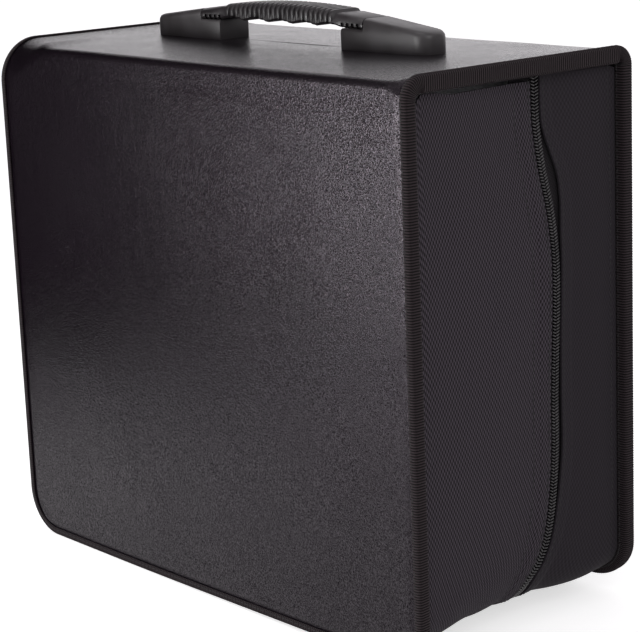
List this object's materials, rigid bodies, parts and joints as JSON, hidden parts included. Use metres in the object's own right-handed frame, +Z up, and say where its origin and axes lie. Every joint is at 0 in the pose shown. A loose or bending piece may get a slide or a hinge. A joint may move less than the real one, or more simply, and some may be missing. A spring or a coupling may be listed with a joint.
{
  "type": "disc storage case",
  "caption": "Zipped book-style disc storage case with stiff covers, cloth gusset walls, a lift-up carrying handle on the spine and hanging disc sleeves inside.",
  "frame": {"origin": "middle of the footprint, at the floor that the bindings of the two covers stand on", "axes": "+X along the spine, -Y towards the front cover, +Z up from the opening side to the spine and the handle"},
  "size_m": [0.36, 0.166, 0.3319],
  "materials": {
    "leathercloth": "black leathercloth with a fine pressed grain and a soft satin sheen",
    "binding_tape": "ribbed black binding tape, matt",
    "gusset_cloth": "black nylon cloth with a fine diagonal weave, matt",
    "zip_tape": "black woven zip tape, matt",
    "zip_coil": "black nylon coil, satin",
    "moulded_plastic": "black moulded plastic, satin",
    "zip_metal": "black lacquered zinc, satin",
    "screw_steel": "plain zinc-plated steel",
    "sleeve_film": "clear film over white non-woven backing",
    "binder_plastic": "dark grey moulded plastic, matt"
  },
  "bodies": {
    "spine": {"spine_panel": "leathercloth", "spine_binding_left": "binding_tape", "spine_binding_right": "binding_tape", "handle_boot_left": "moulded_plastic", "handle_boot_right": "moulded_plastic", "handle_plate_left": "screw_steel", "handle_plate_right": "screw_steel", "handle_screw_1": "screw_steel", "handle_screw_2": "screw_steel", "handle_screw_3": "screw_steel", "handle_screw_4": "screw_steel", "sleeve_pages": "sleeve_film", "binder_bar_front": "binder_plastic", "binder_bar_back": "binder_plastic", "binder_post_1": "screw_steel", "binder_post_2": "screw_steel", "binder_post_3": "screw_steel", "binder_post_4": "screw_steel"},
    "front_half": {"front_cover": "leathercloth", "front_binding": "binding_tape", "front_gusset": "gusset_cloth", "front_zip_tape": "zip_tape", "front_zip_coil": "zip_coil"},
    "back_half": {"back_cover": "leathercloth", "back_binding": "binding_tape", "back_gusset": "gusset_cloth", "back_zip_tape": "zip_tape", "back_zip_coil": "zip_coil"},
    "carrying_grip": {"handle_grip": "moulded_plastic"},
    "slider": {"zip_slider": "zip_metal"},
    "puller": {"zip_puller": "zip_metal"}
  },
  "joints": [
    {"name": "front_cover_hinge", "type": "hinge", "parent": "spine", "child": "front_half", "pos_m": [0, -0.083, 0.292], "axis": [-1, 0, 0], "range_deg": [0, 110]},
    {"name": "back_cover_hinge", "type": "hinge", "parent": "spine", "child": "back_half", "pos_m": [0, 0.083, 0.292], "axis": [1, 0, 0], "range_deg": [0, 110]},
    {"name": "handle_lift", "type": "slide", "parent": "spine", "child": "carrying_grip", "axis": [0, 0, 1], "range_m": [0, 0.007]},
    {"name": "zip_slide", "type": "slide", "parent": "back_half", "child": "slider", "axis": [0, 0, -1], "range_m": [0, 0.2]},
    {"name": "puller_swing", "type": "hinge", "parent": "slider", "child": "puller", "pos_m": [-0.1739, 0.028, 0.2724], "axis": [0, 1, 0], "range_deg": [0, 170]}
  ]
}
